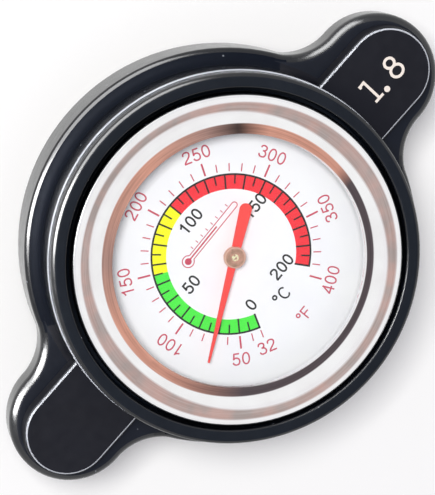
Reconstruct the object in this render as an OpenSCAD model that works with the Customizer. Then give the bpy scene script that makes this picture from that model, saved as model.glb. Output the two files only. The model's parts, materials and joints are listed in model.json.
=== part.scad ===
// Radiator cap with a bimetal dial thermometer set into its top. A machined cover with two grip ears
// carries a pressed bayonet shell below and the thermometer above. The thermometer's stem runs down
// through the middle of a spring loaded pressure valve, which has a vacuum valve in its centre.
// Z = 0 is the face of the filler neck on which the cap's gasket seats. +Z points out of the dial,
// and +X along one ear. Millimetres.

/* [Cover] */
// Outer diameter of the cover's skirt
body_d = 52.6; // [47.4:0.1:60]
// Height of the skirt's lower edge below the neck seat
skirt_depth = 4.2; // [3:0.1:9]
// Rounding of the skirt's lower edge
skirt_round = 0.4; // [0.2:0.1:1]
// Width of the shoulder between the skirt and the collar round the gauge
shoulder_w = 2.25; // [1.9:0.05:2.7]
// Rounding of the shoulder's edge
shoulder_round = 0.8; // [0.4:0.1:1]
// Depth of the shoulder's rounding below the ears' top
shoulder_drop = 1; // [0.8:0.1:1.4]
// Thickness of the collar's wall
collar_wall = 1.85; // [1.5:0.05:2.3]
// Height of the collar's top above the dial face
collar_rise = 4.7; // [3.8:0.1:5.2]
// Rounding of the collar's outer top edge
collar_round = 0.6; // [0.2:0.05:1]
// Chamfer of the collar's inner top edge
collar_edge = 0.15; // [0.05:0.05:0.3]
// Depth of the small ledge at the collar's foot
ledge = 0.3; // [0.1:0.05:0.6]
// Height of the ledge above the dial face
ledge_rise = 2.2; // [1.6:0.1:2.6]
// Radius of the hollow sweep between collar and shoulder
cove_r = 2; // [1.6:0.1:2.6]
// Thickness of the web between gauge and filler neck
web_t = 1.6; // [1.2:0.1:3]
// Height of the step in the gauge bore above the web
bore_step = 3.6; // [2:0.1:4.5]
// Width of the dark gap between bezel and collar
bezel_gap = 0.55; // [0.3:0.05:0.8]

/* [Grip ears] */
// Length of an ear, from the skirt to its tip
ear_l = 12; // [11:0.1:20]
// Width of an ear
ear_w = 16.4; // [14.5:0.1:18.5]
// Thickness of an ear at its edge
ear_t = 5.2; // [4:0.1:7]
// Depth of the ear's top face below the dial face
ear_drop = 3.8; // [3.4:0.1:4.6]
// Rounding of the ear's top edge
ear_round = 1.2; // [0.6:0.1:1.6]
// Rounding of the ear's lower edge
ear_foot_round = 0.8; // [0.3:0.1:1.5]
// Radius of the hollow corner between ear and skirt
ear_fillet = 7.5; // [5:0.1:9]
// Distance of the raised pad's tip from the ear's tip
pad_margin = 1.25; // [1:0.05:3]
// Width of the raised pad
pad_w = 11.3; // [9:0.1:12.5]
// Height of the pad above the ear
pad_h = 2.2; // [1:0.1:3]
// Bright chamfer round the pad
pad_chamfer = 0.35; // [0.1:0.05:0.6]
// Width by which the pad's foot stands out past its upper edge
pad_foot_w = 0.2; // [0.05:0.05:0.4]

/* [Gauge case and bezel] */
// Width of the bezel, from its outer edge to its opening
bezel_w = 5.25; // [4.5:0.05:6]
// Thickness of the bezel's sheet
bezel_t = 0.45; // [0.3:0.05:0.6]
// Height of the bezel's crest above the glass
bezel_crest = 1.35; // [1:0.05:1.6]
// Chamfer of the bezel's crimped lower edge
bezel_toe_edge = 0.15; // [0.05:0.05:0.2]
// Width of the bezel's inner lip that bears on the glass
bezel_foot_w = 1.35; // [1:0.05:2]
// Thickness of the case's floor
case_t = 0.6; // [0.4:0.1:1]
// Thickness of the case's wall
case_wall = 0.55; // [0.4:0.05:0.8]
// Width of the rim on which the bezel is crimped
case_rim = 0.2; // [0.1:0.05:0.3]
// Height of that rim
case_rim_h = 0.6; // [0.4:0.1:1]
// Depth of the rim's top below the glass face
case_rim_drop = 0.4; // [0.2:0.1:0.8]
// Thickness of the glass
glass_t = 1.2; // [0.8:0.1:2]
// Thickness of the gasket under the glass
glass_gasket_t = 0.5; // [0.3:0.1:0.8]
// Width of the gasket under the glass
glass_gasket_w = 1.4; // [0.8:0.1:2]

/* [Dial and pointer] */
// Height of the air space between dial and glass gasket
air_h = 2.7; // [2.5:0.1:4]
// Thickness of the dial plate
dial_t = 0.4; // [0.3:0.05:0.8]
// Hole in the dial plate
dial_hole_d = 1.8; // [1.4:0.1:3]
// Width of the rings above and below the dial
dial_ring_w = 0.95; // [0.6:0.05:1.5]
// Space between the dial plate and the stem fitting's head
dial_gap = 0.5; // [0.2:0.1:1]
// Turn of the dial's upright direction from the cap's +Y
dial_turn = 2.6; // [-5:0.1:5]
// Direction of 0 degrees Celsius from the dial's right-hand side
scale_zero = 241; // [220:0.5:250]
// Turn of the pointer for one degree Celsius
scale_step = 1.5075; // [1.2:0.0005:1.55]
// Temperature at which the pointer is drawn
shown_temp = 23; // [0:1:40]
// Distance of the needle's tip from the edge of the bezel's opening
needle_margin = 2.2; // [1:0.1:6]
// Length of the pointer's tail from the axis
tail_l = 7.1; // [5:0.1:9]
// Width of the needle at the hub
needle_w = 1.1; // [0.8:0.1:1.6]
// Width of the needle's tip
needle_tip_w = 0.25; // [0.15:0.05:0.5]
// Width of the tail's round end
tail_w = 1.6; // [1.2:0.1:2.2]
// Diameter of the pointer's round middle
pointer_boss_d = 2.3; // [2:0.1:3]
// Thickness of the pointer
pointer_t = 0.25; // [0.15:0.05:0.4]
// Height of the pointer above the dial face
pointer_rise = 1.5; // [1.1:0.1:1.7]
// Diameter of the hub's cap
hub_d = 2.9; // [2:0.1:4]
// Rounding of the hub cap's upper edge
hub_round = 0.2; // [0.05:0.05:0.3]
// Height of the hub's cap
hub_h = 0.55; // [0.4:0.05:0.6]
// Diameter of the hub's sleeve, which holds the pointer
hub_sleeve_d = 1.3; // [1.1:0.1:1.6]
// Diameter of the hub's lower collar
hub_collar_d = 2; // [1.7:0.1:2.4]
// Height of the hub's lower collar
hub_collar_h = 0.5; // [0.3:0.1:0.7]

/* [Thermometer stem] */
// Outer diameter of the stem tube
stem_d = 5.8; // [5:0.1:6.2]
// Wall of the stem tube
stem_wall = 0.45; // [0.3:0.05:0.6]
// Height of the stem's closed end above the pressure seal's rim
stem_end_rise = 0.8; // [0.2:0.1:2]
// Wall of the stem fitting's threaded neck
fitting_wall = 1.05; // [0.6:0.05:1.2]
// Height of a flat of the fitting's head and of the nut above the thread
hex_flat_w = 1; // [0.7:0.05:1.1]
// Height of the fitting's head
fitting_head_h = 1.1; // [0.8:0.1:2]
// Height of the nut
nut_h = 2.2; // [1.5:0.1:3]
// Length of thread that shows past the nut
thread_end = 0.55; // [0.2:0.05:1]
// Diameter of the pointer's spindle
spindle_d = 0.7; // [0.5:0.05:0.9]
// Length of the spindle's upper bearing
bearing_l = 2; // [1:0.1:4]
// Depth of the upper bearing below the top of the stem
bearing_drop = 0.5; // [0.2:0.1:1.5]
// Thickness of the plug in the stem's closed end
plug_t = 1; // [0.6:0.1:2]
// Mean diameter of the bimetal coil
coil_d = 3; // [2.4:0.1:3.4]
// Width of the bimetal strip
strip_w = 0.8; // [0.5:0.1:1]
// Thickness of the bimetal strip
strip_t = 0.25; // [0.15:0.05:0.4]
// Rise of the bimetal coil in one turn
coil_pitch = 1.3; // [1.25:0.05:2]
// Turns of the bimetal coil
coil_turns = 6.5; // [3:0.5:7]
// Overlap of the collar that joins coil and spindle past the coil's middle line
coil_collar_w = 0.4; // [0.2:0.05:0.7]
// Thickness of that collar
coil_collar_t = 0.8; // [0.5:0.1:1.5]

/* [Bayonet shell] */
// Inner diameter of the shell, which goes over the filler neck's flange
shell_d = 36; // [32.4:0.1:39.6]
// Thickness of the shell's sheet
shell_t = 1.2; // [0.8:0.1:1.5]
// Outer rounding of the shell's top edge
shell_round = 1; // [0.5:0.1:1.2]
// Height between the neck seat and the top of the tabs
tab_reach = 4.0; // [3:0.1:6]
// Reach of a tab inwards from the shell's wall
tab_hold = 3.4; // [2.5:0.1:4]
// Angle that one tab spans
tab_angle = 54; // [35:1:60]
// Number of rivets
rivets = 3; // [2:1:6]
// Diameter of the rivet circle
rivet_circle_d = 27; // [24:0.1:28]
// Diameter of a rivet's shank
rivet_d = 2; // [1.5:0.1:2.6]
// Diameter of a rivet's countersunk head
rivet_head_d = 3.8; // [3.2:0.1:4.4]
// Thickness of the spring steel diaphragm
diaphragm_t = 0.35; // [0.25:0.05:0.6]
// Space between the shell's wall and the edge of diaphragm and neck gasket
gasket_edge_gap = 0.7; // [0.5:0.05:1.5]
// Space between the valve cage and the neck gasket
gasket_bore_gap = 1; // [0.5:0.05:2]
// Thickness of the neck gasket
gasket_t = 1.25; // [1:0.05:2]

/* [Pressure valve] */
// Sheet thickness of cage, cup and plate
cage_t = 0.7; // [0.5:0.05:0.9]
// Thickness of the cage's top plate
cage_top_t = 0.8; // [0.6:0.1:1]
// Number of windows in the cage's wall
windows = 4; // [3:1:6]
// Width of a window
window_w = 6.5; // [4:0.1:8]
// Height of a window
window_h = 3.6; // [2.5:0.1:4.2]
// Depth of the windows' upper edge below the neck seat
window_drop = 1.6; // [1.2:0.1:2.2]
// Height between the neck seat and the cage's lower lip
cage_reach = 8.2; // [7.5:0.1:9]
// Overlap of the cup's flange on the cage's lip
lip_hold = 0.6; // [0.4:0.05:0.8]
// Depth of the pressure seal's rim below the neck seat
valve_depth = 16.4; // [15.5:0.1:19]
// Outer diameter of the pressure seal
seal_d = 23; // [20.8:0.1:25.3]
// Thickness of the pressure seal at its rim
seal_t = 1.4; // [1.2:0.1:2]
// Thickness of the seal's inner land, where the vacuum valve seats
seal_land_t = 0.8; // [0.6:0.05:1]
// Space between the vacuum valve's disc and the seal's rim
seal_rim_gap = 0.8; // [0.6:0.05:1]
// Thickness of the plate that backs the seal
plate_t = 0.9; // [0.6:0.1:1.2]
// Distance of the backing plate's edge from the seal's edge
plate_margin = 0.7; // [0.3:0.05:1.2]
// Outer rounding of the cage's top and the cup's foot
press_round = 0.8; // [0.4:0.1:1.2]
// Chamfer of the seal's outer edge
seal_edge = 0.3; // [0.1:0.05:0.4]
// Wire of the pressure spring
spring_wire = 1.4; // [1.1:0.05:1.5]
// Space between the vacuum valve's clip and the pressure spring
spring_bore_gap = 0.6; // [0.4:0.05:1]
// Space between the pressure spring and the cup's wall
spring_edge_gap = 1.05; // [0.5:0.05:1.5]
// Least space between two turns of the pressure spring
spring_turn_gap = 0.5; // [0.4:0.05:0.6]
// Turns of the pressure spring
spring_turns = 5; // [4:0.5:6]

/* [Vacuum valve] */
// Width of the vacuum valve's disc outside the opening that it closes
disc_hold = 2.95; // [2:0.05:3.3]
// Thickness of the vacuum valve's disc
vacuum_t = 0.5; // [0.4:0.05:0.55]
// Wall of the vacuum valve's shank
shank_wall = 1; // [0.85:0.05:1.1]
// Gap between the stem and the shank's bore, which the sealing ring bridges
shank_gap = 0.5; // [0.4:0.05:0.7]
// Cord of the ring that seals the shank on the stem
ring_cord = 0.9; // [0.7:0.05:1]
// Width of the clip outside the shank
clip_w = 1.2; // [0.9:0.05:1.5]
// Thickness of the clip
clip_t = 0.6; // [0.4:0.1:0.8]
// Depth of the groove that holds the clip
clip_groove = 0.25; // [0.15:0.05:0.35]
// Wire of the vacuum spring
vacuum_wire = 0.5; // [0.4:0.05:0.6]
// Turns of the vacuum spring
vacuum_turns = 3; // [2:0.5:3]
// Drop of the vacuum valve when fully open
vacuum_drop = 1.2; // [0.6:0.1:1.5]

/* [Clearances] */
// Gap round a fixed piece in its hole
seat_gap = 0.05; // [0.02:0.01:0.1]
// Gap round a ring or clip in its groove
groove_gap = 0.03; // [0.02:0.01:0.05]
// Gap of the spindle in its bearings
bearing_gap = 0.05; // [0.02:0.01:0.09]
// Gap of the sealing ring on the stem
ring_gap = 0.08; // [0.05:0.01:0.1]
// Gap between pieces that slide past each other
slide_gap = 0.35; // [0.3:0.05:0.4]
// Gap under a sliding piece that rests on its stop
stop_gap = 0.1; // [0.05:0.05:0.2]

/* [Hidden] */
$fn = 96;
overcut = 1;
arc_steps = 8;

// Heights, from the neck seat upwards
shell_z0 = gasket_t + diaphragm_t;
web_z0 = shell_z0 + shell_t;
web_z1 = web_z0 + web_t;
case_floor = web_z1 + case_t;
fitting_top = case_floor + fitting_head_h;
dial_z = fitting_top + dial_gap + dial_t;
gasket_z0 = dial_z + air_h;
glass_z0 = gasket_z0 + glass_gasket_t;
glass_z1 = glass_z0 + glass_t;
collar_top = dial_z + collar_rise;
ledge_z = dial_z + ledge_rise;
ear_top = dial_z - ear_drop;
ear_bottom = ear_top - ear_t;
pad_top = ear_top + pad_h;
rim_z1 = glass_z1 - case_rim_drop;
rim_z0 = rim_z1 - case_rim_h;

// Radii of the cover and gauge
body_r = body_d / 2;
collar_r = body_r - shoulder_w;
collar_foot_r = collar_r + ledge;
collar_bore_r = collar_r - collar_wall;
bezel_r = collar_bore_r - bezel_gap;
bezel_in_r = bezel_r - bezel_t;
window_r = bezel_r - bezel_w;
rim_r = bezel_in_r - seat_gap;
case_r = rim_r - case_rim;
case_in_r = case_r - case_wall;
inset_r = case_in_r - seat_gap;
case_bore_r = case_r + seat_gap;
needle_l = window_r - needle_margin;
shell_in_r = shell_d / 2;
shell_out_r = shell_in_r + shell_t;
shell_bore_r = shell_out_r + seat_gap;
tab_r = shell_in_r - tab_hold;
gasket_r = shell_in_r - gasket_edge_gap;

// Where the hollow corner between an ear and the skirt has its centre: it cuts a hair into both, so
// that the surfaces cross instead of only touching. Its radius ends where the ear's straight side does
corner_bite = 0.02;
ear_half = ear_w / 2;
ear_reach = body_r + ear_l;
ear_end_x = ear_reach - ear_half;
fillet_most = (pow(ear_half, 2) + pow(ear_end_x, 2) - pow(body_r, 2)) / 2 / (body_r - ear_half);
fillet_r = min(ear_fillet, fillet_most);
fillet_y = ear_half + fillet_r - corner_bite;
fillet_x = sqrt(pow(body_r + fillet_r - corner_bite, 2) - pow(fillet_y, 2));
pad_half = pad_w / 2;
pad_end_x = ear_reach - pad_margin - pad_half;

// Radii of the stem and its fitting
stem_r = stem_d / 2;
stem_in_r = stem_r - stem_wall;
fitting_r = stem_r + seat_gap + fitting_wall;
fitting_hole_r = fitting_r + seat_gap;
hex_flat_r = fitting_r + hex_flat_w;
hex_r = hex_flat_r / cos(30);
spindle_r = spindle_d / 2;
bearing_r = spindle_r + bearing_gap;
cage_top_z1 = shell_z0 - diaphragm_t;
cage_top_z0 = cage_top_z1 - cage_top_t;
fitting_bottom = cage_top_z0 - nut_h - thread_end;
stem_bottom = -valve_depth + stem_end_rise;
plug_z0 = stem_bottom + stem_r / 2;
plug_z1 = plug_z0 + plug_t;
strip_z0 = plug_z1 + slide_gap;
strip_z1 = strip_z0 + coil_turns * coil_pitch + strip_w;
pointer_z = dial_z + pointer_rise;
hub_top = pointer_z + pointer_t + hub_h;

// Radii of the valve, from the stem outwards
shank_in_r = stem_r + shank_gap;
shank_r = shank_in_r + shank_wall;
shank_hole_r = shank_r + slide_gap;
clip_in_r = shank_r - clip_groove;
clip_r = shank_r + clip_w;
vacuum_spring_r = shank_r + slide_gap + vacuum_wire / 2;
spring_r = clip_r + spring_bore_gap + spring_wire / 2;
cup_in_r = spring_r + spring_wire / 2 + spring_edge_gap;
cup_r = cup_in_r + cage_t;
lip_r = cup_r + slide_gap;
flange_r = cup_r + lip_hold;
cage_in_r = flange_r + slide_gap;
cage_r = cage_in_r + cage_t;
gasket_in_r = cage_r + gasket_bore_gap;
vacuum_r = shank_hole_r + disc_hold;
seal_rim_r = vacuum_r + seal_rim_gap;
seal_r = seal_d / 2;
plate_r = seal_r - plate_margin;
ring_in_r = stem_r + ring_gap;
ring_mid_r = ring_in_r + ring_cord / 2;

// Heights of the valve
cage_bottom = -cage_reach;
flange_z0 = cage_bottom + cage_t + stop_gap;
seal_z1 = -valve_depth + seal_t;
plate_z1 = seal_z1 + plate_t;
cup_floor_z0 = plate_z1;
cup_floor_z1 = cup_floor_z0 + cage_t;
land_z = seal_z1 - seal_land_t;
vacuum_spring_h = (vacuum_turns + 1) * vacuum_wire + vacuum_drop + stop_gap;
clip_z0 = cup_floor_z1 + vacuum_spring_h;
clip_z1 = clip_z0 + clip_t;
shank_top = clip_z1 + clip_t;
disc_z1 = land_z - seat_gap;
disc_z0 = disc_z1 - vacuum_t;
ring_z = (cup_floor_z1 + land_z) / 2;

// Points on an arc round [x, y], from angle a0 to a1
function arc(x, y, r, a0, a1, steps = arc_steps) =
    [for (i = [0:steps]) let (a = a0 + (a1 - a0) * i / steps) [x + r * cos(a), y + r * sin(a)]];

// One point of a smooth curve through p1 and p2, which p0 and p3 steer
function curve_point(p0, p1, p2, p3, t) =
    (2 * p1 + (p2 - p0) * t + (2 * p0 - 5 * p1 + 4 * p2 - p3) * t * t
        + (3 * p1 - p0 - 3 * p2 + p3) * t * t * t) / 2;

// A smooth curve through every point of a list
function curve(p, steps = 5) =
    let (last = len(p) - 1)
    [for (i = [0:last - 1], k = [0:steps - 1])
        curve_point(p[max(i - 1, 0)], p[i], p[i + 1], p[min(i + 2, last)], k / steps), p[last]];

// A solid of revolution between two radii and two heights
module ring(r0, r1, z0, z1) {
    translate([0, 0, z0]) difference() {
        cylinder(r = r1, h = z1 - z0);
        translate([0, 0, -overcut]) cylinder(r = r0, h = z1 - z0 + 2 * overcut);
    }
}

// Half outline of the cover: skirt, shoulder, hollow sweep, ledge and collar outside, and inside the
// gauge's stepped bore, the web with the fitting's hole, and the shell's bore
shoulder_z = ear_top - shoulder_drop;
sweep_angle = acos(1 - (body_r - collar_foot_r) / (shoulder_round + cove_r));
sweep_x = collar_foot_r + cove_r;
sweep_z = shoulder_z + (shoulder_round + cove_r) * sin(sweep_angle);
bore_step_z = web_z1 + bore_step;
cover_outline = concat(
    [[shell_bore_r, -skirt_depth]],
    arc(body_r - skirt_round, -skirt_depth + skirt_round, skirt_round, -90, 0, 5),
    arc(body_r - shoulder_round, shoulder_z, shoulder_round, 0, sweep_angle, 6),
    arc(sweep_x, sweep_z, cove_r, 180 + sweep_angle, 180),
    [[collar_foot_r, ledge_z], [collar_r, ledge_z + ledge]],
    arc(collar_r - collar_round, collar_top - collar_round, collar_round, 0, 90, 6),
    [[collar_bore_r + collar_edge, collar_top], [collar_bore_r, collar_top - collar_edge]],
    [[collar_bore_r, bore_step_z], [case_bore_r, bore_step_z]],
    [[case_bore_r, web_z1], [fitting_hole_r, web_z1], [fitting_hole_r, web_z0]],
    [[shell_bore_r, web_z0]]
);

// The ear's edge as [offset from its widest outline, height], from the bottom up
ear_edge = concat(
    arc(-ear_foot_round, ear_bottom + ear_foot_round, ear_foot_round, -90, 0, 6),
    arc(-ear_round, ear_top - ear_round, ear_round, 0, 90, 6)
);

// The pad's edge, in the same form
pad_edge = [
    [pad_foot_w, ear_top - ear_round], [pad_foot_w, ear_top], [0, pad_top - pad_chamfer],
    [-pad_chamfer, pad_top]
];

// A straight run along X with a round end, whose side wall follows an edge
module run(edge, half_w, x0, x1) {
    right = [for (p = edge) [half_w + p[0], p[1]]];
    left = [for (i = [len(edge) - 1:-1:0]) [-half_w - edge[i][0], edge[i][1]]];
    bottom = edge[0][1];
    top = edge[len(edge) - 1][1];
    translate([x0, 0, 0]) rotate([90, 0, 90]) linear_extrude(x1 - x0)
        polygon(concat(right, left));
    translate([x1, 0, 0]) rotate([0, 0, -90]) rotate_extrude(angle = 180)
        polygon(concat([[0, bottom]], right, [[0, top]]));
}

// The hollow corner between an ear and the skirt, which follows the ear's edge
module corner() {
    start = 180 + atan2(fillet_y, fillet_x);
    depth = fillet_r + (body_r - shell_bore_r) / 2;
    wall = [for (p = ear_edge) [fillet_r - p[0], p[1]]];
    translate([fillet_x, fillet_y, 0]) rotate([0, 0, start]) rotate_extrude(angle = 270 - start)
        polygon(concat([[depth, ear_bottom]], wall, [[depth, ear_top]]));
}

module ear() {
    run(ear_edge, ear_half, (shell_bore_r + body_r) / 2, ear_end_x);
    run(pad_edge, pad_half, (case_bore_r + collar_r) / 2, pad_end_x);
    corner();
    mirror([0, 1, 0]) corner();
}

// Places its child once for each rivet
module at_rivets() {
    for (i = [0:rivets - 1])
        rotate([0, 0, i * 360 / rivets]) translate([rivet_circle_d / 2, 0, 0]) children();
}

module rivet_body(gap) {
    head_h = (rivet_head_d - rivet_d) / 2;
    translate([0, 0, shell_z0]) {
        cylinder(r = rivet_d / 2 + gap, h = web_z1 - shell_z0);
        cylinder(r1 = rivet_head_d / 2 + gap, r2 = rivet_d / 2 + gap, h = head_h);
    }
}

module cap_body() {
    color("#20222c") difference() {
        union() {
            rotate_extrude() polygon(cover_outline);
            ear();
            mirror([1, 0, 0]) ear();
        }
        at_rivets() translate([0, 0, web_z0 - overcut])
            cylinder(r = rivet_d / 2 + seat_gap, h = web_t + 2 * overcut);
    }
}

// Pressed shell: a flat top with a rounded edge, a skirt, and two tabs turned inwards
module neck_shell() {
    inner_round = shell_round / 2;
    bottom = -tab_reach - shell_t;
    outline = concat(
        [[fitting_hole_r, web_z0]],
        arc(shell_out_r - shell_round, web_z0 - shell_round, shell_round, 90, 0, 5),
        [[shell_out_r, bottom], [shell_in_r, bottom]],
        arc(shell_in_r - inner_round, shell_z0 - inner_round, inner_round, 0, 90, 4),
        [[fitting_hole_r, shell_z0]]
    );
    tab = concat(
        [[shell_in_r + shell_t / 2, bottom], [shell_in_r + shell_t / 2, -tab_reach]],
        arc(tab_r + shell_t / 2, -tab_reach - shell_t / 2, shell_t / 2, 90, 270, 6)
    );
    color("#c9c4b8") difference() {
        union() {
            rotate_extrude() polygon(outline);
            for (a = [90, 270])
                rotate([0, 0, a - tab_angle / 2]) rotate_extrude(angle = tab_angle) polygon(tab);
        }
        at_rivets() rivet_body(seat_gap);
    }
}

module shell_rivets() {
    color("#b9b9b4") at_rivets() rivet_body(0);
}

module diaphragm() {
    color("#a8adb4") ring(fitting_hole_r, gasket_r, gasket_t, shell_z0);
}

module neck_gasket() {
    color("#1b1b1c") ring(gasket_in_r, gasket_r, 0, gasket_t);
}

// Thin cup with an outward rim at its mouth, on which the bezel is crimped
module gauge_case() {
    color("#9a9da1") rotate_extrude() polygon([
        [fitting_hole_r, web_z1], [case_r, web_z1], [case_r, rim_z0], [rim_r, rim_z0],
        [rim_r, rim_z1], [case_in_r, rim_z1], [case_in_r, case_floor], [fitting_hole_r, case_floor]
    ]);
}

// Upper line of the bezel's section, from its outer edge inwards: the outer bead and its inner slope,
// the domed face, the valley and the lip. Each point is a share of the bezel's width and of its
// crest's height
bezel_section = [
    [0, -0.33], [0.006, 0.04], [0.05, 0.56], [0.12, 0.88], [0.195, 1], [0.26, 0.96], [0.34, 0.82],
    [0.42, 0.69], [0.5, 0.66], [0.6, 0.54], [0.7, 0.33], [0.765, 0.23], [0.82, 0.27], [0.89, 0.46],
    [0.945, 0.6], [0.978, 0.62], [0.997, 0.53], [1, 0.33]
];
under_first = 3;
under_last = 9;
bezel_line = [for (p = bezel_section) [bezel_r - p[0] * bezel_w, glass_z1 + p[1] * bezel_crest]];

// Rolled sheet ring: its lower line keeps the sheet's thickness under the bead and the face
module gauge_bezel() {
    toe_z = rim_z0 - bezel_t - seat_gap;
    under = curve(concat(
        [[window_r + bezel_foot_w, glass_z1]],
        [for (i = [under_last:-1:under_first]) bezel_line[i] - [0, bezel_t]],
        [[bezel_in_r, glass_z1]]
    ), 3);
    color("#dfe1e4") rotate_extrude() polygon(concat(
        [[case_r + seat_gap, toe_z], [bezel_r - bezel_toe_edge, toe_z]],
        [[bezel_r, toe_z + bezel_toe_edge]],
        curve(bezel_line), [[window_r, glass_z1]], under,
        [[bezel_in_r, toe_z + bezel_t], [case_r + seat_gap, toe_z + bezel_t]]
    ));
}

module gauge_glass() {
    edge = glass_t / 6;
    color("#e8eef2", 0.3) rotate_extrude() polygon([
        [0, glass_z0], [inset_r - edge, glass_z0], [inset_r, glass_z0 + edge],
        [inset_r, glass_z1 - edge], [inset_r - edge, glass_z1], [0, glass_z1]
    ]);
}

module glass_gasket() {
    color("#222222") ring(inset_r - glass_gasket_w, inset_r, gasket_z0, glass_z0);
}

module dial_spacer() {
    color("#eceae6") ring(inset_r - dial_ring_w, inset_r, dial_z, gasket_z0);
}

module dial_plate() {
    color("#f4f3f6") ring(dial_hole_d / 2, inset_r, dial_z - dial_t, dial_z);
}

module dial_support_ring() {
    color("#9a9da1") ring(inset_r - dial_ring_w, inset_r, case_floor, dial_z - dial_t);
}

// A hexagon with its corners turned off at the face away from z0
module hex_head(z0, h, chamfer_top) {
    cut = hex_r - hex_flat_r;
    low = chamfer_top ? hex_r : hex_flat_r;
    high = chamfer_top ? hex_flat_r : hex_r;
    intersection() {
        translate([0, 0, z0]) cylinder(r = hex_r, h = h, $fn = 6);
        rotate_extrude() polygon([
            [0, z0], [low, z0], [hex_r, z0 + (chamfer_top ? 0 : cut)],
            [hex_r, z0 + h - (chamfer_top ? cut : 0)], [high, z0 + h], [0, z0 + h]
        ]);
    }
}

// Brass fitting: a hexagon head in the case and a threaded neck through web, shell and cage
module stem_fitting() {
    color("#b98b4a") difference() {
        union() {
            hex_head(case_floor, fitting_head_h, true);
            translate([0, 0, fitting_bottom])
                cylinder(r = fitting_r, h = case_floor + fitting_head_h / 2 - fitting_bottom);
        }
        translate([0, 0, fitting_bottom - overcut])
            cylinder(r = stem_r + seat_gap, h = fitting_top - fitting_bottom + 2 * overcut);
    }
}

module stem_nut() {
    z0 = cage_top_z0 - nut_h;
    color("#c39a58") difference() {
        hex_head(z0, nut_h, false);
        translate([0, 0, z0 - overcut]) cylinder(r = fitting_hole_r, h = nut_h + 2 * overcut);
    }
}

// Tube with a rounded closed end, which reaches the coolant through the vacuum valve
module stem_tube() {
    end_round = stem_r / 2;
    color("#b07a45") rotate_extrude() polygon(concat(
        [[0, stem_bottom]],
        arc(stem_r - end_round, stem_bottom + end_round, end_round, -90, 0, 6),
        [[stem_r, fitting_top], [stem_in_r, fitting_top]],
        [[stem_in_r, stem_bottom + end_round], [stem_in_r - stem_wall, stem_bottom + stem_wall]],
        [[0, stem_bottom + stem_wall]]
    ));
}

// Plug in the stem's end: it centres the spindle's foot
module stem_plug() {
    color("#c9a468") ring(bearing_r, stem_in_r - seat_gap, plug_z0, plug_z1);
}

module spindle_bearing() {
    z1 = fitting_top - bearing_drop;
    color("#d0ad6c") ring(bearing_r, stem_in_r - seat_gap, z1 - bearing_l, z1);
}

module spindle() {
    foot = plug_z0 + bearing_gap;
    color("#c8ccd0") translate([0, 0, foot])
        cylinder(r = spindle_r, h = pointer_z + pointer_t + hub_h / 2 - foot);
}

module coil_collar() {
    color("#c9a468")
        ring(spindle_r, coil_d / 2 + coil_collar_w, strip_z1, strip_z1 + coil_collar_t);
}

// Heights of a coil's middle line: the first and last turn rise by end_pitch and the rest share
// what is left
function coil_height(turn, turns, rise, end_pitch) =
    let (middle = (rise - 2 * end_pitch) / (turns - 2))
    turn <= 1 ? turn * end_pitch
        : turn >= turns - 1 ? rise - (turns - turn) * end_pitch
        : end_pitch + (turn - 1) * middle;

rings_per_turn = 24;

function coil_line(r, turns, rise, end_pitch) =
    [for (i = [0:round(turns * rings_per_turn)])
        let (turn = i / rings_per_turn)
        [r * cos(360 * turn), r * sin(360 * turn), coil_height(turn, turns, rise, end_pitch)]];

// Least distance between one turn's middle line and the next, less the height of the section
function least_gap(line, section_h) =
    min([for (i = [0:len(line) - 1 - rings_per_turn]) norm(line[i + rings_per_turn] - line[i])])
        - section_h;

// One unbroken tube: a section of [radial, axial] points carried along a coil's middle line
module coil(r, turns, rise, end_pitch, section) {
    line = coil_line(r, turns, rise, end_pitch);
    n = len(section);
    last = len(line) - 1;
    points = [for (p = line, s = section)
        let (out = [p[0], p[1]] / r) [p[0] + s[0] * out[0], p[1] + s[0] * out[1], p[2] + s[1]]];
    sides = [for (i = [0:last - 1], k = [0:n - 1]) let (a = i * n + k, b = i * n + (k + 1) % n)
        each [[a, b, a + n], [b, b + n, a + n]]];
    start_cap = [for (k = [1:n - 2]) [0, k + 1, k]];
    end_cap = [for (k = [1:n - 2]) [last * n, last * n + k, last * n + k + 1]];
    polyhedron(points, concat(sides, start_cap, end_cap));
}

function wire_section(d) = [for (k = [0:5]) [d / 2 * cos(60 * k + 30), d / 2 * sin(60 * k + 30)]];

// Heights of the two wire springs, seat to seat, and the rise of their middle lines
spring_h = cage_top_z0 - cup_floor_z1;
spring_rise = spring_h - spring_wire;
spring_end_pitch = spring_wire + spring_turn_gap;
vacuum_rise = vacuum_spring_h - vacuum_wire;
vacuum_end_pitch = vacuum_rise / vacuum_turns;
echo(pressure_spring_gap = least_gap(
    coil_line(spring_r, spring_turns, spring_rise, spring_end_pitch), spring_wire));
echo(vacuum_spring_gap = least_gap(
    coil_line(vacuum_spring_r, vacuum_turns, vacuum_rise, vacuum_end_pitch), vacuum_wire));
echo(bimetal_gap = least_gap(
    coil_line(coil_d / 2, coil_turns, coil_turns * coil_pitch, coil_pitch), strip_w));

// Bimetal strip, wound flat on edge round the spindle
module bimetal_coil() {
    u = strip_t / 2;
    v = strip_w / 2;
    color("#8f9aa3") translate([0, 0, strip_z0 + v])
        coil(coil_d / 2, coil_turns, coil_turns * coil_pitch, coil_pitch,
            [[u, -v], [u, v], [-u, v], [-u, -v]]);
}

// Needle with a round tail, cut from thin sheet
module pointer() {
    heading = scale_zero - shown_temp * scale_step + dial_turn;
    tail_x = -tail_l + tail_w / 2;
    color("#f0504c") translate([0, 0, pointer_z]) rotate([0, 0, heading]) difference() {
        union() {
            linear_extrude(pointer_t) polygon(concat(
                [[needle_l, -needle_tip_w / 2], [needle_l, needle_tip_w / 2], [0, needle_w / 2]],
                arc(tail_x, 0, tail_w / 2, 95, 265, 10),
                [[0, -needle_w / 2]]
            ));
            cylinder(r = pointer_boss_d / 2, h = pointer_t);
        }
        translate([0, 0, -overcut])
            cylinder(r = hub_sleeve_d / 2, h = pointer_t + 2 * overcut);
    }
}

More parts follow.
